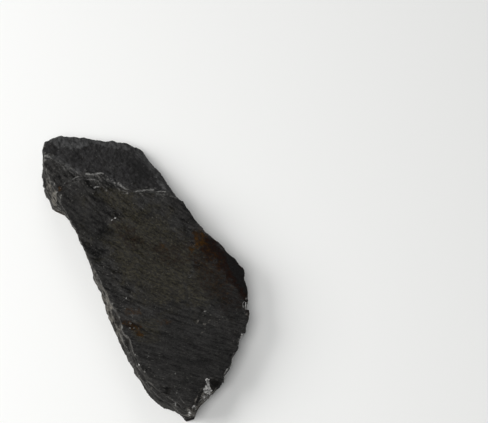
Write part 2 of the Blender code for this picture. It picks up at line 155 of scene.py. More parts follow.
# The stone's fine shape. Lengths and heights here are in millimetres. A pattern's size is that of its
# lumps, and its seed picks the part of the noise that it reads.
stone = {
    "merge": 0.001,              # corners of the solid's triangles that are closer than this are one
    "voxel": 0.56,               # spacing of the fine mesh
    "faceNormal": (0.55, 0.86),  # how level a surface is to count as a cleavage face: partly, wholly
    "faceDrop": 0.12,            # the upper faces are lowered by this, to keep the ridges in the solid
    "underside": 0.5,            # share of the faces' relief that the underside has, all of it inwards
    # the cleavage grain runs down the slab and swings across it towards the tip
    "grainWay": (0.68, -0.73),
    "grainLean": 0.905,
    "grainSwing": 0.00436,
    "bedWarp": {"height": 0.5, "size": (38.0, 38.0, math.inf), "seed": 2, "octaves": 1},
    # laminae that show on the broken sides: where the lowest lies, how many there are, how thick
    # they are, how far the side stands back under them, how unlike the one below each is, and their
    # steps, which have a height, a length and a seed
    "laminae": {"lowest": -4.0, "count": 40, "thickness": (1.0, 2.6), "back": 0.30, "drift": 7.3,
                "steps": ((0.60, 9.0, 5), (0.38, 3.2, 6))},
    "sideRough": {"height": 0.22, "size": 1.5, "seed": 8, "octaves": 3},
    "footHeight": 1.5,           # the laminae fade in over this height above the ground
    # the cleavage faces: low swells, then short wavy ridges along the grain. Each kind of ridge has
    # a height, a length, a width and two seeds. They change through the beds over so many widths,
    # bend by a share of their width over a share of their length, are weaker outside their patches,
    # and are calmer on the lower face: by what share, where that begins and where it is full
    "swell": {"height": 0.14, "size": 13.0, "seed": 11, "octaves": 1},
    "ridges": {"kinds": ((0.18, 9.5, 2.3, 12, 26), (0.11, 4.6, 1.3, 15, 27)), "octaves": 2,
               "through": 4, "bend": (0.9, 0.7), "strength": (0.55, 1.0),
               "patch": {"length": 17.0, "begins": -0.3, "full": 0.3, "seed": 31},
               "calmer": (0.45, 20.0, 45.0)},
    # thin terraces in patches, and pits
    "terraces": {"height": 0.20, "size": (34.0, 15.0, 90.0), "number": 4.0, "riser": 0.09,
                 "levelled": 0.8, "seed": 15, "octaves": 3},
    "terracePatch": {"length": 36.0, "begins": -0.1, "full": 0.3, "seed": 18},
    "pitDepth": 0.22,
    "pits": {"length": 3.0, "begins": 0.58, "full": 0.88, "seed": 21},
    # open cracks in the face, given as the marks below are
    "crackDepth": 0.45,
    "cracks": {"lump": 2.0, "bend": 0.3, "ovals": (
        (-17.8, -37.4, 8.0, 0.7, 129.0, 1.0),
        (-17.2, 39.5, 7.4, 0.7, 134.0, 0.8),
    )},
    # where the top beds broke off across the slab: a few points of that line, from left to right
    "breakLine": ((-52.0, 78.0), (-33.4, 76.8), (-26.8, 65.0), (-22.4, 59.4), (-11.9, 56.0),
                  (-10.1, 50.8), (-4.6, 45.2), (0.2, 41.2), (9.9, 38.4), (18.4, 33.6), (34.6, 30.0)),
    "breakEdge": (-0.5, 1.5),    # the relief changes to that of the break between these, past the line
    "breakCalms": 0.6,           # how much of the faces' relief is gone there
    "breakRough": {"height": 0.26, "size": 2.2, "seed": 33, "octaves": 3},
    "breakSteps": {"height": 0.30, "size": (15.0, 5.0, 5.0), "number": 5.5, "riser": 0.12,
                   "levelled": 0.85, "seed": 37, "octaves": 2},
    # thin ragged lips along the break: how far past its line they lie, how wide and how pale they
    # are, how long a piece is, and their seed; and where the noise leaves gaps between the pieces
    "lips": ((-2.7, 0.7, 0.7, 9.0, 61), (-0.3, 0.7, 0.6, 7.0, 62), (-4.6, 0.5, 0.5, 4.0, 63),
             (-1.4, 1.9, 0.42, 16.0, 64)),
    "lipGaps": (-0.35, 0.15),
    "lipWander": {"height": 0.7, "size": 3.4, "seed": 45, "octaves": 2},
    # small shells knocked off the rims. A rim stands out this far from the surface so many
    # neighbours round it, and lies above the lowest
    "chips": {
        "count": 190, "radius": (1.0, 3.0), "depth": (0.15, 0.6),
        "sharp": 0.16, "rounds": 6, "lowest": 3.0,
        # how likely one is elsewhere, and how much likelier between two sides and before a far end
        "elsewhere": 0.25,
        "stretches": ((3.0, 8.0, 99.0, -22.0), (1.5, -14.0, 99.0, -60.0), (0.5, -99.0, -24.0, 99.0)),
        "facet": (8.6, -76.6, 5.0),     # the smooth facet that has none: its place and reach
        # how pale the older ones are, and the newer ones, which lie to the lower right of a point;
        # what share of that they show; and how much of it is left on a face
        "pale": (0.35, 0.65), "newerFrom": (14.0, -22.0), "fading": (0.4, 1.0), "onFace": 0.2,
    },
    # points that stand this far from the middle of their neighbours are partly or fully drawn back
    "spikes": {"begins": 0.24, "full": 0.45, "pull": 0.6, "rounds": 4},
    # edges sharper than this, in degrees, are smoothed
    "folds": {"angle": 100.0, "factor": 0.5, "repeat": 2, "rounds": 5},
}

# Marks on the stone, each an oval: its middle, half its length and width, its turn from X in
# degrees, and its strength. They end raggedly, over the given size of lump, and bend by the given
# length. Lengths are in millimetres.
marks = {
    "dark": {"lump": 2.6, "bend": 0.5, "ovals": (
        (9.4, -76.2, 3.6, 2.0, 150.0, 1.0),      # the smooth fresh facet beside the notch's apex, dark partly as painted shade
        (-0.8, -81.4, 3.6, 0.9, 50.0, 0.35),
        (-17.2, 39.5, 7.4, 0.7, 134.0, 0.8),     # painted shade in the crease below the break
        (-30.6, 0.8, 4.6, 0.5, 96.0, 0.8),
        (-17.8, -37.4, 7.5, 0.55, 129.0, 1.0),   # the rusty crack
        (8.0, 52.5, 14.0, 7.0, 102.0, 0.65),
        (4.0, -57.0, 32.0, 25.0, 100.0, 0.5),    # the cleaner lower face
        (-25.0, 28.0, 22.0, 9.0, 108.0, 0.5),
        (25.0, -32.0, 22.0, 10.0, 105.0, 0.5),
        # painted shade along the right border
        (39.0, -26.0, 20.0, 3.4, 98.0, 0.9),
    )},
    "fresh": {"lump": 1.6, "bend": 0.1, "ovals": (
        (4.7, -75.7, 2.9, 1.0, 66.0, 1.0),       # the bright sliver under the notch's apex
        (3.7, -78.3, 2.2, 1.8, 0.0, 0.95),
        (-5.6, -85.1, 1.2, 0.7, 45.0, 0.7),
        (-8.6, -86.8, 1.3, 0.6, 30.0, 0.6),
        (1.1, -80.9, 0.9, 0.5, 60.0, 0.7),
        (28.9, -57.0, 1.7, 0.7, 60.0, 0.8),      # tiny new chips down the lower right rim
        (25.9, -60.8, 0.8, 0.5, 60.0, 0.7),
        (24.3, -64.3, 0.7, 0.5, 60.0, 0.7),
        (20.2, -68.2, 0.9, 0.6, 50.0, 0.75),
        (13.9, -74.8, 1.7, 0.5, 48.0, 0.7),
        (-14.0, 25.6, 0.5, 0.35, 12.0, 0.85),    # two bright flakes on the face
        (-12.4, 26.3, 0.8, 0.5, 12.0, 1.0),
        (-19.8, -19.5, 0.6, 0.5, 0.0, 0.75),     # two pale grains
        (-21.4, -20.7, 0.5, 0.4, 0.0, 0.6),
    )},
    "crushed": {"lump": 2.4, "bend": 0.5, "ovals": (
        (-30.2, -17.0, 12.5, 2.2, 94.0, 0.85),   # the bruised middle of the left side
        (-28.8, -32.0, 7.5, 1.7, 98.0, 0.6),
        (-0.3, -78.6, 2.4, 0.35, 45.0, 0.7),     # the thin pale line from the notch to the tip
        (-3.6, -82.6, 3.6, 0.35, 53.0, 0.7),
        (-31.3, -1.0, 6.0, 1.0, 95.0, 0.5),
        (-33.0, 14.5, 10.0, 0.6, 98.0, 0.55),
        (-36.0, 39.0, 4.8, 0.5, 103.0, 0.45),
        (-39.6, 58.0, 8.5, 1.7, 90.0, 0.5),
        (-38.8, 51.4, 3.4, 2.2, 95.0, 1.0),
        (-24.0, -61.0, 14.0, 2.0, 112.0, 0.3),
        (0.4, -83.0, 8.6, 1.5, 28.0, 0.75),
        (1.4, -80.6, 5.2, 1.4, 40.0, 0.8),       # the striped floor of the notch
        (-8.0, -87.3, 4.6, 2.2, 10.0, 0.7),
        (36.5, -47.0, 3.0, 2.0, 60.0, 0.5),
        (10.2, -43.3, 2.5, 0.6, 42.0, 0.72),     # pale scratches round a scar
        (15.4, -44.8, 1.1, 0.5, 75.0, 0.75),
        (16.5, -44.0, 0.8, 0.5, 0.0, 0.6),
        (13.0, -40.7, 1.5, 0.6, 0.0, 0.6),
        (13.1, -45.6, 1.2, 0.7, 0.0, 0.55),
        (11.3, -47.1, 0.9, 0.5, 0.0, 0.6),
        (10.6, -49.6, 1.4, 0.5, 0.0, 0.62),
    )},
    "ledge": {"lump": 1.8, "bend": 0.8, "ovals": (
        (-35.4, 74.2, 2.6, 1.1, 125.0, 0.8),     # the pale lips of the beds that broke off
        (-14.9, 56.6, 5.0, 0.8, 167.0, 1.0),
        (-16.8, 52.4, 2.9, 0.5, 167.0, 0.75),
        (-16.2, 47.0, 2.2, 0.5, 160.0, 0.95),
        (-25.0, 56.5, 3.7, 0.5, 15.0, 0.85),
        (-30.6, 55.4, 2.6, 0.4, 7.0, 0.55),
        (-32.6, 70.8, 2.9, 0.4, 127.0, 0.6),
        (-29.6, 66.0, 3.2, 0.4, 117.0, 0.6),
        (-27.0, 61.2, 2.9, 0.4, 121.0, 0.6),
        (-5.8, 48.6, 7.6, 0.45, 127.0, 0.75),
        (-4.0, 44.8, 6.5, 0.5, 135.0, 0.8),
        (-6.6, 48.9, 1.8, 0.7, 120.0, 0.75),
        (-16.4, -27.3, 0.6, 0.4, 60.0, 0.6),     # a few duller grains
        (-19.8, -29.2, 0.8, 0.4, 0.0, 0.5),
        (-21.9, -33.6, 0.6, 0.5, 0.0, 0.8),
        (-22.9, -35.2, 0.6, 0.4, 0.0, 0.7),
        (-20.4, -36.5, 0.6, 0.4, 0.0, 0.7),
        (-18.6, -53.4, 1.1, 0.4, 35.0, 0.55),
        (-9.0, -66.4, 0.5, 0.5, 0.0, 0.5),
        (15.5, -38.8, 0.7, 0.6, 0.0, 0.8),
        (-34.1, 52.4, 0.6, 0.5, 0.0, 0.9),
        (-36.9, 50.4, 0.6, 0.5, 0.0, 0.8),
        (4.2, 38.2, 1.7, 0.9, 0.0, 0.9),         # the right part of the break
        (8.0, 37.9, 5.4, 0.7, 176.0, 0.85),
        (15.8, 35.0, 3.2, 0.5, 155.0, 0.8),
        (2.6, -80.6, 4.4, 0.6, 38.0, 0.8),       # stripes on the floor of the notch
        (-0.4, -81.4, 3.2, 0.4, 52.0, 0.7),
    )},
    "dustAndLight": {"lump": 5.0, "bend": 1.0, "ovals": (
        (16.8, 44.0, 11.5, 2.7, 98.0, 0.9),      # the bevel beside the broken end: dust, and painted light
        (12.8, 61.0, 9.5, 2.8, 108.0, 1.0),
        (-2.5, 74.8, 14.0, 2.8, 149.0, 1.0),     # the rim of the broken end: dust, and painted light
        (-21.0, 81.8, 17.0, 4.5, 163.0, 0.95),
        (-27.0, 66.5, 13.0, 2.6, 127.0, 0.75),
        (-6.0, 47.5, 9.0, 2.8, 130.0, 0.6),
    )},
    "rust": {"lump": 2.2, "bend": 1.3, "ovals": (
        (25.2, 1.0, 6.6, 3.7, 80.0, 0.9),        # the orange patch on the right edge
        (20.6, -3.8, 2.8, 2.0, 30.0, 0.8),
        (28.0, -8.0, 11.0, 4.0, 112.0, 0.45),
        (25.0, -22.0, 20.0, 8.0, 106.0, 0.32),   # a faint haze beside it
        (-20.6, -35.2, 4.4, 2.0, 140.0, 0.7),    # patches along the crack
        (-18.9, -40.2, 2.6, 1.8, 130.0, 0.9),
        (-18.6, -28.2, 4.6, 2.2, 160.0, 0.55),
        (-24.4, -32.2, 2.2, 1.4, 140.0, 0.6),
        (-5.5, -38.9, 4.5, 1.8, 165.0, 0.4),
        (-34.3, 52.3, 1.5, 1.1, 100.0, 0.8),
        (5.8, 1.8, 4.2, 2.0, 130.0, 0.5),
    )},
    "umberAndShadow": {"lump": 4.5, "bend": 2.0, "ovals": (
        (32.5, -11.0, 15.0, 6.5, 112.0, 1.0),    # the dark red-brown border on the right: a stain, darkened by painted shadow
        # painted shadow along the right edge, in a red-brown tint
        (37.5, -28.0, 18.0, 5.5, 97.0, 1.0),
        (37.0, -44.0, 10.0, 3.5, 80.0, 0.7),
        (27.0, -24.0, 28.0, 11.0, 106.0, 0.5),
        (8.0, -3.0, 12.0, 6.0, 140.0, 0.5),
        (-24.0, -32.0, 9.0, 3.0, 120.0, 0.4),
        (-9.0, 14.0, 13.0, 5.0, 125.0, 0.45),
    )},
    "olive": {"lump": 8.0, "bend": 3.0, "ovals": (
        (1.0, -3.0, 44.0, 21.0, 112.0, 0.9),
        (-8.0, 36.0, 13.0, 7.0, 130.0, 0.85),
        (16.0, -24.0, 18.0, 11.0, 120.0, 0.7),
        (-15.0, -39.0, 9.0, 6.0, 110.0, 0.6),
    )},
}

# How a mark ends and bends, for all marks alike. Bends are longer than the lumps of its ends, and no
# mark is seen below the lower of two heights, so that none runs through to the underside.
markEdge = {"ragged": 0.45, "seed": 41, "octaves": 3, "fade": (-0.25, 0.45),
            "bendLength": 2, "bendSeeds": (71, 72), "bendOctaves": 2, "heights": (3.0, 5.0)}

# The noise that every pattern reads: each corner of a grid of cells has one of these directions,
# chosen by a hash of the corner's place. Their number is a power of two, which the hash needs. The
# seed sets the directions, and all other random draws after them.
noiseGrid = {"seed": 19, "directions": 4096, "primes": (73856093, 19349663, 83492791),
             "fold": 13, "seedShift": (17.31, 5.77, 11.13), "gain": 1.55}

random = np.random.default_rng(noiseGrid["seed"])
directions = random.normal(size=(noiseGrid["directions"], 3))
directions /= np.linalg.norm(directions, axis=1)[:, None]


def smoothNoise(place, seed):
    # lumps one unit long, from about -1 to 1, the same on every run
    shifted = place + seed * np.array(noiseGrid["seedShift"])
    cell = np.floor(shifted).astype(np.int64)
    inCell = shifted - cell
    ease = inCell ** 3 * (inCell * (inCell * 6 - 15) + 10)
    total = np.zeros(len(place))
    for corner in product((0, 1), repeat=3):
        key = (cell + corner) @ np.array(noiseGrid["primes"])
        key = (key ^ (key >> noiseGrid["fold"])) & (noiseGrid["directions"] - 1)
        pull = ((inCell - corner) * directions[key]).sum(axis=1)
        total += pull * np.prod(np.where(corner, ease, 1 - ease), axis=1)
    return total * noiseGrid["gain"]


def layered(place, seed, octaves):
    # the same noise with finer and finer lumps on it
    return sum(smoothNoise(place * 2 ** k, seed + k) / 2 ** k for k in range(octaves))


def lumpy(place, height, size, seed, octaves):
    return height * layered(place / size, seed, octaves)


def patches(place, length, begins, full, seed):
    # 1 in patches where the noise is high, 0 outside them
    return rampUp(smoothNoise(place / length, seed), begins, full)


def stepped(place, height, size, number, riser, levelled, seed, octaves):
    # lumps cut into flat treads with short risers between them, and mostly levelled again
    level = number * layered(place / size, seed, octaves)
    tread = np.floor(level)
    treads = tread + rampUp(level - tread, 0.5 - riser, 0.5 + riser)
    return height * (treads - level * levelled)


def rampUp(value, low, high):
    # 0 up to low, 1 from high, and an even curve between them
    t = np.clip((value - low) / (high - low), 0, 1)
    return t * t * (3 - 2 * t)


def verticesAndNormals(mesh):
    count = len(mesh.vertices)
    place, normal = np.zeros(count * 3), np.zeros(count * 3)
    mesh.vertices.foreach_get("co", place)
    mesh.vertices.foreach_get("normal", normal)
    return place.reshape(-1, 3) / mm, normal.reshape(-1, 3)


def moveVertices(mesh, place):
    # the stone keeps inside the box of its solid, and stays flat where it rests
    low, high = (np.array(corner) / mm for corner in cadBox)
    mesh.vertices.foreach_set("co", (np.clip(place, low, high) * mm).ravel())
    mesh.update()


def addLayer(mesh, name, values):
    kind, field = ("FLOAT", "value") if values.ndim == 1 else ("FLOAT_VECTOR", "vector")
    mesh.attributes.new(name, kind, "POINT").data.foreach_set(field, values.astype(np.float32).ravel())


def stoneSpace(place):
    # (along the grain, across it, up through the beds), in millimetres
    x, y, z = place.T
    wayX, wayY = stone["grainWay"]
    along = wayX * x + wayY * y
    across = x + stone["grainLean"] * y - stone["grainSwing"] * y * y
    up = z + lumpy(place, **stone["bedWarp"])
    return np.stack((along, across, up), axis=1)


def pastBreak(place):
    # how far a place lies beyond the line where the top beds broke off
    line = np.array(stone["breakLine"])
    spot = place[:, :2]
    nearest = np.full(len(place), np.inf)
    for start, end in zip(line[:-1], line[1:]):
        run = end - start
        share = np.clip((spot - start) @ run / (run @ run), 0, 1)
        nearest = np.minimum(nearest, np.linalg.norm(spot - start - share[:, None] * run, axis=1))
    return np.where(place[:, 1] > np.interp(place[:, 0], *line.T), nearest, -nearest)


def lipMask(place):
    # the pale broken lips of the thin beds along the break
    past = pastBreak(place) + lumpy(place, **stone["lipWander"])
    total = np.zeros(len(place))
    for offset, width, strength, piece, seed in stone["lips"]:
        pieces = patches(place, piece, *stone["lipGaps"], seed)
        total = np.maximum(total, strength * pieces * np.exp(-((past - offset) / width) ** 2))
    return total


def sideRelief(place, rift):
    # each lamina broke back to its own line, so the side is a stack of small steps
    laminae = stone["laminae"]
    low, high = laminae["thickness"]
    tops = np.cumsum(random.uniform(low, high, laminae["count"])) + laminae["lowest"]
    lamina = np.searchsorted(tops, rift[:, 2]) * laminae["drift"]
    out = np.full(len(place), -laminae["back"])
    for height, length, seed in laminae["steps"]:
        out += height * smoothNoise(np.column_stack((place[:, :2] / length, lamina)), seed)
    return out + lumpy(place, **stone["sideRough"])


def ridgeStrength(place):
    # the ridges come in patches, and the lower face is calmer
    ridges = stone["ridges"]
    least, most = ridges["strength"]
    calmer, begins, full = ridges["calmer"]
    inPatches = least + (most - least) * patches(place, **ridges["patch"])
    return inPatches * (1 - calmer * rampUp(-place[:, 1], begins, full))


def faceRelief(place, rift):
    # how far the faces rise or sink, and how far their ridges alone do, as a share of their height
    ridges = stone["ridges"]
    bendWidth, bendLength = ridges["bend"]
    strength = ridgeStrength(place)
    up = lumpy(place, **stone["swell"])
    crest = np.zeros(len(place))
    for height, along, across, seed, bendSeed in ridges["kinds"]:
        bend = bendWidth * smoothNoise(place / (along * bendLength), bendSeed)[:, None] * (0, across, 0)
        size = (along, across, across * ridges["through"])
        ridge = strength * layered((rift + bend) / size, seed, ridges["octaves"])
        up += height * ridge
        crest += ridge / len(ridges["kinds"])
    up += patches(place, **stone["terracePatch"]) * stepped(rift, **stone["terraces"])
    up -= stone["pitDepth"] * patches(place, **stone["pits"])
    return up, crest


def breakRelief(place):
    # the hackly face of the break
    return lumpy(place, **stone["breakRough"]) + stepped(place, **stone["breakSteps"])


def meshEdges(mesh):
    # the two ends of every edge, and how many neighbours every vertex has
    edges = np.zeros(len(mesh.edges) * 2, dtype=np.int32)
    mesh.edges.foreach_get("vertices", edges)
    neighbours = np.bincount(edges, minlength=len(mesh.vertices)).astype(float)
    return edges.reshape(-1, 2), neighbours[:, None]


def neighbourMean(values, edges, neighbours):
    total = np.zeros_like(values)
    for column in range(values.shape[1]):
        for near, far in ((0, 1), (1, 0)):
            total[:, column] += np.bincount(edges[:, near], values[edges[:, far], column], len(values))
    return total / neighbours


def sharpness(mesh, rounds):
    # how far each vertex stands out of the surface that many neighbours round it, and its normal
    edges, neighbours = meshEdges(mesh)
    place, normal = verticesAndNormals(mesh)
    smooth = place.copy()
    for _ in range(rounds):
        smooth = neighbourMean(smooth, edges, neighbours)
    return ((place - smooth) * normal).sum(axis=1), normal


def ovalMask(place, lump, bend, ovals):
    # how strongly each vertex lies in one of the ovals, which are bent and have ragged ends
    ragged = lumpy(place, markEdge["ragged"], lump, markEdge["seed"], markEdge["octaves"])
    bendLength = markEdge["bendLength"] * lump
    bentX, bentY = (place[:, k] + lumpy(place, bend, bendLength, seed, markEdge["bendOctaves"])
                    for k, seed in enumerate(markEdge["bendSeeds"]))
    total = np.zeros(len(place))
    for x, y, halfLength, halfWidth, turn, strength in ovals:
        c, s = math.cos(math.radians(turn)), math.sin(math.radians(turn))
        across, up = bentX - x, bentY - y
        reach = np.hypot((across * c + up * s) / halfLength, (up * c - across * s) / halfWidth)
        total = np.maximum(total, strength * rampUp(1.0 - reach + ragged, *markEdge["fade"]))
    return total * rampUp(place[:, 2], *markEdge["heights"])


def fineStone():
    # a copy of the solid, joined at its corners and divided evenly
    slab = bpy.data.objects.new("riven_slate_slab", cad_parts["slab"].data.copy())
    bpy.context.scene.collection.objects.link(slab)
    bpy.ops.object.select_all(action="DESELECT")
    bpy.context.view_layer.objects.active = slab
    slab.select_set(True)
    bpy.ops.object.mode_set(mode="EDIT")
    bpy.ops.mesh.select_all(action="SELECT")
    bpy.ops.mesh.remove_doubles(threshold=stone["merge"] * mm)
    bpy.ops.object.mode_set(mode="OBJECT")

    remesh = slab.modifiers.new("fine mesh", "REMESH")
    remesh.mode = "VOXEL"
    remesh.voxel_size = stone["voxel"] * mm
    bpy.ops.object.modifier_apply(modifier=remesh.name)
    print("stone:", len(slab.data.vertices), "vertices in the fine mesh")
    return slab


def shapeStone(mesh):
    # relief on the broken sides, on the two cleavage faces and on the broken end
    place, normal = verticesAndNormals(mesh)
    rift = stoneSpace(place)
    level = rampUp(np.abs(normal[:, 2]), *stone["faceNormal"])
    side = 1 - level
    sideways = np.linalg.norm(normal[:, :2], axis=1)
    outward = normal[:, :2] / np.maximum(sideways, 1e-6)[:, None]    # no division by 0 on a level face
    steps = side * rampUp(place[:, 2], 0, stone["footHeight"])
    place[:, :2] += outward * (steps * sideRelief(place, rift))[:, None]

    top = normal[:, 2] > 0
    broken = rampUp(pastBreak(place), *stone["breakEdge"]) * top
    calm = 1 - stone["breakCalms"] * broken
    relief, crest = faceRelief(place, rift)
    lift = relief * calm + breakRelief(place) * broken
    place[:, 2] += level * np.where(top, lift - stone["faceDrop"], np.abs(lift) * stone["underside"])
    place[:, 2] -= stone["crackDepth"] * ovalMask(place, **stone["cracks"])
    moveVertices(mesh, place)
    addLayer(mesh, "rift", rift)
    addLayer(mesh, "crest", 0.5 + crest * level * calm)    # a colour share, 0.5 at middle height
    print("stone: beds, ridges and terraces done")
    return side, broken


def chipLikelihood(x, y):
    # most chips are round the notch, the tip and the lower right
    chips = stone["chips"]
    likely = np.full(len(x), chips["elsewhere"])
    for more, left, right, far in chips["stretches"]:
        likely += more * ((x > left) & (x < right) & (y < far))
    facetX, facetY, facetRadius = chips["facet"]
    likely *= np.hypot(x - facetX, y - facetY) > facetRadius
    return likely / likely.sum()


def chipStone(mesh, side):
    # shells knocked off the rims: what lies inside a ball is pushed out to it. Returns how pale they are
    chips = stone["chips"]
    bulge, normal = sharpness(mesh, chips["rounds"])
    place, _ = verticesAndNormals(mesh)
    rim = np.flatnonzero((bulge > chips["sharp"]) & (place[:, 2] > chips["lowest"]))
    likely = chipLikelihood(place[rim, 0], place[rim, 1])
    newerX, newerY = chips["newerFrom"]
    pale = np.zeros(len(place))
    for spot in random.choice(rim, chips["count"], replace=False, p=likely):
        radius = random.uniform(*chips["radius"])
        middle = place[spot] + normal[spot] * (radius - random.uniform(*chips["depth"]))
        away = place - middle
        reach = np.linalg.norm(away, axis=1)
        bitten = reach < radius
        place[bitten] = middle + away[bitten] * (radius / reach[bitten])[:, None]
        newer = place[spot, 0] > newerX and place[spot, 1] < newerY
        shown = chips["onFace"] + (1 - chips["onFace"]) * side[spot]
        pale[bitten] = chips["pale"][int(newer)] * random.uniform(*chips["fading"]) * shown
    moveVertices(mesh, place)
    print("stone:", chips["count"], "chips knocked off its rims")
    return pale


def easeSpikes(mesh):
    # lone points that the steps and chips left standing out are drawn back, so that no face folds over
    spikes = stone["spikes"]
    edges, neighbours = meshEdges(mesh)
    place, _ = verticesAndNormals(mesh)
    for _ in range(spikes["rounds"]):
        mean = neighbourMean(place, edges, neighbours)
        share = rampUp(np.linalg.norm(place - mean, axis=1), spikes["begins"], spikes["full"])
        place += spikes["pull"] * share[:, None] * (mean - place)
    moveVertices(mesh, place)


def easeFolds():
    # what is still folded over at the sharpest steps is smoothed where it folds
    folds = stone["folds"]
    bpy.ops.object.mode_set(mode="EDIT")
    bpy.ops.mesh.select_mode(type="EDGE")
    for _ in range(folds["rounds"]):
        bpy.ops.mesh.select_all(action="DESELECT")
        bpy.ops.mesh.edges_select_sharp(sharpness=math.radians(folds["angle"]))
        bpy.ops.mesh.vertices_smooth(factor=folds["factor"], repeat=folds["repeat"])
    bpy.ops.object.mode_set(mode="OBJECT")
    print("stone: spikes and folds smoothed")


# What age did, with painted shade in the hollows and painted highlights on the edges, where it follows
# the stone's shape. Lengths and heights are in millimetres.
ageingAndShading = {
    "rounds": 5,                 # an edge is compared with the surface so many neighbours round it
    "worn": (0.05, 0.22),        # how far an edge stands out where its wear and painted rim highlight begin, and are full
    "hollowShade": (0.04, 0.22),      # the same for how far a hollow lies back, where it gets painted shade
    # how pale edges are everywhere, as wear and as painted rim highlight, how much more they are along
    # the break, and on the left side
    "wearAndRimHighlight": 0.45,
    "breakWearAndHighlight": 0.45,
    "leftWearAndHighlight": 0.65,
    # the band along the break: how far before its line the middle lies, and how far from the middle
    # the band is still full, and ends
    "breakBand": (1.5, 2.0, 5.0),
    "leftBand": (18.0, 26.0),    # how far to the left that wear and painted rim highlight begin, and are full
    "lipSlope": 0.2,             # lips show only where the stone is more level than this
    "dripSlope": 0.3,            # stains run down only where it is steeper than this
    "drips": {"length": 15.0, "begins": 0.35, "full": 0.7, "seed": 51},
    "dripStrength": 0.6,
}


def markStone(mesh, side, broken, pale):
    # the layers that the material reads
    bulge, normal = sharpness(mesh, ageingAndShading["rounds"])
    place, _ = verticesAndNormals(mesh)
    before, full, ends = ageingAndShading["breakBand"]
    atBreak = 1 - rampUp(np.abs(pastBreak(place) + before), full, ends)
    atLeft = rampUp(-place[:, 0], *ageingAndShading["leftBand"])
    exposed = np.maximum(ageingAndShading["wearAndRimHighlight"] + ageingAndShading["breakWearAndHighlight"] * atBreak, ageingAndShading["leftWearAndHighlight"] * atLeft)
    drips = patches(place, **ageingAndShading["drips"]) * (normal[:, 2] < ageingAndShading["dripSlope"])

    layers = {
        "side": side,
        "broken": broken,
        # paled convex edges: wear, and a painted rim highlight
        "wearAndRimHighlight": rampUp(bulge, *ageingAndShading["worn"]) * exposed,
        # painted shade: the hollows are darkened as if shade falls in them
        "hollowShade": rampUp(-bulge, *ageingAndShading["hollowShade"]),
        "lip": lipMask(place) * (normal[:, 2] > ageingAndShading["lipSlope"]),
    }
    for name, mark in marks.items():
        layers[name] = ovalMask(place, **mark)
    layers["fresh"] = np.maximum(layers["fresh"], pale)
    for name in ("rust", "olive"):
        layers[name] = np.maximum(layers[name], ageingAndShading["dripStrength"] * drips)
    for name, values in layers.items():
        addLayer(mesh, name, values)
    # the layers include painted shade in the hollows and painted highlights on the edges
    print("stone:", len(layers), "layers of wear, stains and fresh breaks marked")


# Riven slate, split by hand along its cleavage: a fine dark clay rock, matt to satin. Its face is
# nearly black with a faint grain, its broken sides show the edges of the beds, and where it was
# struck or rubbed the rock is crushed to a dusty grey. Sizes and bump heights are in millimetres.
slate = {
    "roughness": (0.52, 0.64),   # split clay rock is matt, and a little smoother where it is darker
    "ior": 1.55,                 # its clay minerals and quartz have about 1.54 to 1.6
    "specular": 0.06,            # the powdery surface gives back less than clean rock would
    "tones": ("#050505", "#363534"),
    "contrast": (0.25, 0.75),    # the tones are pulled apart between these shares of the pattern
    # streaks of the grain: their length, their width, and how far they go through the beds
    "grain": (9.0, 1.8, 5.0),
    "grainHeight": 0.08,
    # the rock's own grains are under 0.1 mm: they are drawn at about 1 mm, so that they show
    "mottle": (1.2, 1.3, 1.1),
    "grit": (0.9, 1.1, 0.8),
    "gritHeight": 0.10,
    # edges of the laminae on the sides, which are thin and long
    "laminae": (20.0, 26.0, 0.9),
    "laminaHeight": 0.16,
    # fine scratches along the grain, and pale specks, both drawn a little larger than they are
    "flecks": ({"size": (7.0, 0.6, 3.0), "colour": "#45433f", "strength": 0.3},
               {"size": (1.2, 1.3, 1.2), "colour": "#62605b", "strength": 0.5}),
    "fleckFrom": 0.86,           # how strong the pattern is where a fleck begins
    # a soft noise of lumps one unit long, and the part of its values that becomes 0 to 1
    "noise": {"Scale": 1.0, "Detail": 4.0, "Roughness": 0.6},
    "noiseRange": (0.34, 0.66),
}

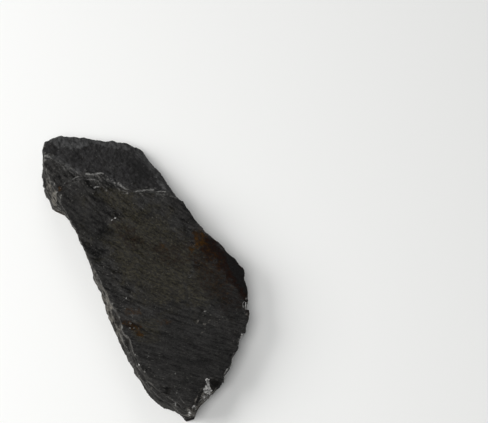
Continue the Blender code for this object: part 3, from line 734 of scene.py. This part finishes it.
# What lies over the plain rock, from the lowest up: the layer it follows, where it begins and
# covers all, how ragged it is, its lumps, how much it hides, its two colours, and how rough and how
# uneven it is
coats = (
    {"layer": "side", "reach": (0.25, 0.8), "ragged": 0.4, "lumps": (24.0, 30.0, 2.2), "strength": 0.85,
     "colours": ("#050505", "#434240"), "roughness": 0.66, "height": 0.05},
    {"layer": "side", "reach": (1.05, 1.35), "ragged": 1.0, "lumps": (30.0, 36.0, 1.7), "strength": 0.6,
     "colours": ("#1a1a19", "#73716d"), "roughness": 0.7, "height": 0.05},
    {"layer": "broken", "reach": (0.3, 0.9), "ragged": 0.5, "lumps": (2.0, 2.4, 2.0), "strength": 0.6,
     "colours": ("#0b0b0c", "#373637"), "roughness": 0.6, "height": 0.09},
    # dust, with painted light: the bevel and the rim of the broken end are paled as if lit
    {"layer": "dustAndLight", "reach": (0.2, 1.0), "ragged": 0.4, "lumps": (2.6, 1.8, 2.0), "strength": 0.8,
     "colours": ("#232323", "#525252"), "roughness": 0.66, "height": 0.03},
    {"layer": "olive", "reach": (0.0, 1.4), "ragged": 0.4, "lumps": (1.5, 1.1, 1.2), "strength": 0.75,
     "colours": ("#020201", "#403c2f"), "roughness": 0.62, "height": 0.04},
    # red-brown stains, darkened into painted shadow along the right border
    {"layer": "umberAndShadow", "reach": (0.05, 1.15), "ragged": 0.45, "lumps": (1.8, 1.7, 1.8), "strength": 0.95,
     "colours": ("#020000", "#1a0902"), "roughness": 0.66, "height": 0.0},
    # the rock's own darker patches, and painted shade on the notch's facet, in the crease and along the
    # right border
    {"layer": "dark", "reach": (0.2, 1.0), "ragged": 0.3, "lumps": (1.2, 1.3, 1.2), "strength": 0.9,
     "colours": ("#080808", "#191919"), "roughness": 0.55, "height": 0.0},
    {"layer": "rust", "reach": (0.15, 1.1), "ragged": 0.45, "lumps": (1.6, 1.9, 1.6), "strength": 0.85,
     "colours": ("#0e0601", "#3b2504"), "roughness": 0.75, "height": 0.04},
    # painted shade in the hollows, darker where the surface lies back
    {"layer": "hollowShade", "reach": (0.3, 1.0), "ragged": 0.4, "lumps": (2.5, 2.5, 2.5), "strength": 0.6,
     "colours": ("#0e0d0c", "#181614"), "roughness": 0.7, "height": 0.0},
    {"layer": "crushed", "reach": (0.3, 0.95), "ragged": 0.55, "lumps": (3.6, 3.2, 0.9), "strength": 0.85,
     "colours": ("#1b1a18", "#7a766f"), "roughness": 0.8, "height": 0.12},
    # worn edges with a painted rim highlight: convex edges are paled as if they caught the light
    {"layer": "wearAndRimHighlight", "reach": (0.35, 0.9), "ragged": 0.6, "lumps": (2.6, 2.2, 1.6), "strength": 0.8,
     "colours": ("#2a2928", "#7a7975"), "roughness": 0.72, "height": 0.04},
    {"layer": "lip", "reach": (0.25, 0.9), "ragged": 0.45, "lumps": (1.6, 1.4, 1.0), "strength": 0.75,
     "colours": ("#222121", "#6c6b68"), "roughness": 0.72, "height": 0.08},
    {"layer": "ledge", "reach": (0.25, 0.8), "ragged": 0.5, "lumps": (1.4, 1.2, 1.0), "strength": 0.85,
     "colours": ("#2a2929", "#8b8a87"), "roughness": 0.74, "height": 0.10},
    {"layer": "fresh", "reach": (0.3, 0.65), "ragged": 0.6, "lumps": (2.2, 1.8, 0.8), "strength": 0.95,
     "colours": ("#222121", "#d6d5d2"), "roughness": 0.8, "height": 0.10},
)


# The places of a Mix node's sockets: two numbers go in and one comes out, or two colours and one
numberA, numberB, mixedNumber = 2, 3, 0
colourA, colourB, mixedColour = 6, 7, 2


def spotted(tree, space, size):
    # a soft pattern from 0 to 1 whose lumps have the given sizes
    low, high = slate["noiseRange"]
    scale = [1 / length for length in size]
    fitted = addNode(tree, "ShaderNodeMapping", {"Scale": scale}, {"Vector": space})
    noise = addNode(tree, "ShaderNodeTexNoise", slate["noise"], {"Vector": fitted.outputs[0]})
    return addNode(tree, "ShaderNodeMapRange", {"From Min": low, "From Max": high},
                   {"Value": noise.outputs["Fac"]}).outputs["Result"]


def rockColour(tree, rift, grain, mottle):
    # crests count as much as streaks and mottling together, and scratches and specks lie over them
    crest = addNode(tree, "ShaderNodeAttribute", attribute_name="crest").outputs["Fac"]
    pattern = addNode(tree, "ShaderNodeMix", {"Factor": 0.5},
                      {numberA: grain, numberB: mottle}).outputs[mixedNumber]
    pattern = addNode(tree, "ShaderNodeMix", {"Factor": 0.5},
                      {numberA: pattern, numberB: crest}).outputs[mixedNumber]
    low, high = slate["contrast"]
    pattern = addNode(tree, "ShaderNodeMapRange", {"From Min": low, "From Max": high},
                      {"Value": pattern}).outputs["Result"]
    dark, light = (linearColour(tone) for tone in slate["tones"])
    colour = addNode(tree, "ShaderNodeMix", {colourA: dark, colourB: light}, {"Factor": pattern},
                     data_type="RGBA").outputs[mixedColour]
    for fleck in slate["flecks"]:
        mask = addNode(tree, "ShaderNodeMapRange",
                       {"From Min": slate["fleckFrom"], "To Max": fleck["strength"]},
                       {"Value": spotted(tree, rift, fleck["size"])}).outputs["Result"]
        colour = addNode(tree, "ShaderNodeMix", {colourB: linearColour(fleck["colour"])},
                         {"Factor": mask, colourA: colour}, data_type="RGBA").outputs[mixedColour]
    return colour


def rockHeight(tree, rift, grain):
    # the heights of the grain, the grit and the edges of the laminae, added up
    side = addNode(tree, "ShaderNodeAttribute", attribute_name="side").outputs["Fac"]
    height = addNode(tree, "ShaderNodeMath", {1: slate["grainHeight"]}, {0: grain},
                     operation="MULTIPLY").outputs[0]
    height = addNode(tree, "ShaderNodeMath", {1: slate["gritHeight"]},
                     {0: spotted(tree, rift, slate["grit"]), 2: height},
                     operation="MULTIPLY_ADD").outputs[0]
    edges = addNode(tree, "ShaderNodeMath", links={0: spotted(tree, rift, slate["laminae"]), 1: side},
                    operation="MULTIPLY").outputs[0]
    return addNode(tree, "ShaderNodeMath", {1: slate["laminaHeight"]}, {0: edges, 2: height},
                   operation="MULTIPLY_ADD").outputs[0]


def layCoat(tree, rift, coat, colour, roughness, height):
    # lays a coat over what is there: its lumps also break up its edge, and give it its own height
    layer = addNode(tree, "ShaderNodeAttribute", attribute_name=coat["layer"]).outputs["Fac"]
    lumps = spotted(tree, rift, coat["lumps"])
    edge = addNode(tree, "ShaderNodeMath", {1: coat["ragged"]}, {0: lumps, 2: layer},
                   operation="MULTIPLY_ADD").outputs[0]
    begins, full = (value + coat["ragged"] / 2 for value in coat["reach"])
    cover = addNode(tree, "ShaderNodeMapRange",
                    {"From Min": begins, "From Max": full, "To Max": coat["strength"]},
                    {"Value": edge}, interpolation_type="SMOOTHSTEP").outputs["Result"]
    dark, light = (linearColour(shade) for shade in coat["colours"])
    shades = addNode(tree, "ShaderNodeMix", {colourA: dark, colourB: light}, {"Factor": lumps},
                     data_type="RGBA").outputs[mixedColour]
    colour = addNode(tree, "ShaderNodeMix", links={"Factor": cover, colourA: colour, colourB: shades},
                     data_type="RGBA").outputs[mixedColour]
    roughness = addNode(tree, "ShaderNodeMix", {numberB: coat["roughness"]},
                        {"Factor": cover, numberA: roughness}).outputs[mixedNumber]
    raised = addNode(tree, "ShaderNodeMath", links={0: cover, 1: lumps}, operation="MULTIPLY").outputs[0]
    height = addNode(tree, "ShaderNodeMath", {1: coat["height"]}, {0: raised, 2: height},
                     operation="MULTIPLY_ADD").outputs[0]
    return colour, roughness, height


def slateMaterial():
    material, tree = newMaterial("riven_slate")
    rift = addNode(tree, "ShaderNodeAttribute", attribute_name="rift").outputs["Vector"]
    grain = spotted(tree, rift, slate["grain"])
    mottle = spotted(tree, rift, slate["mottle"])
    colour = rockColour(tree, rift, grain, mottle)
    height = rockHeight(tree, rift, grain)
    smoothest, roughest = slate["roughness"]
    roughness = addNode(tree, "ShaderNodeMapRange", {"To Min": smoothest, "To Max": roughest},
                        {"Value": mottle}).outputs["Result"]
    for coat in coats:
        colour, roughness, height = layCoat(tree, rift, coat, colour, roughness, height)

    bump = addNode(tree, "ShaderNodeBump", {"Strength": 1.0, "Distance": mm}, {"Height": height})
    shader = addNode(tree, "ShaderNodeBsdfPrincipled",
                     {"IOR": slate["ior"], "Specular IOR Level": slate["specular"]},
                     {"Base Color": colour, "Roughness": roughness, "Normal": bump.outputs[0]})
    addNode(tree, "ShaderNodeOutputMaterial", links={"Surface": shader.outputs[0]})
    print("slate: rock with", len(coats), "coats over it")
    return material


addStudio()
slab = fineStone()
side, broken = shapeStone(slab.data)
pale = chipStone(slab.data, side)
easeSpikes(slab.data)
easeFolds()
markStone(slab.data, side, broken, pale)
slab.data.materials.clear()
slab.data.materials.append(slateMaterial())
bpy.ops.object.shade_smooth()
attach(slab, "root")
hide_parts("slab")
print("stone: finished, with", len(slab.data.polygons), "faces")
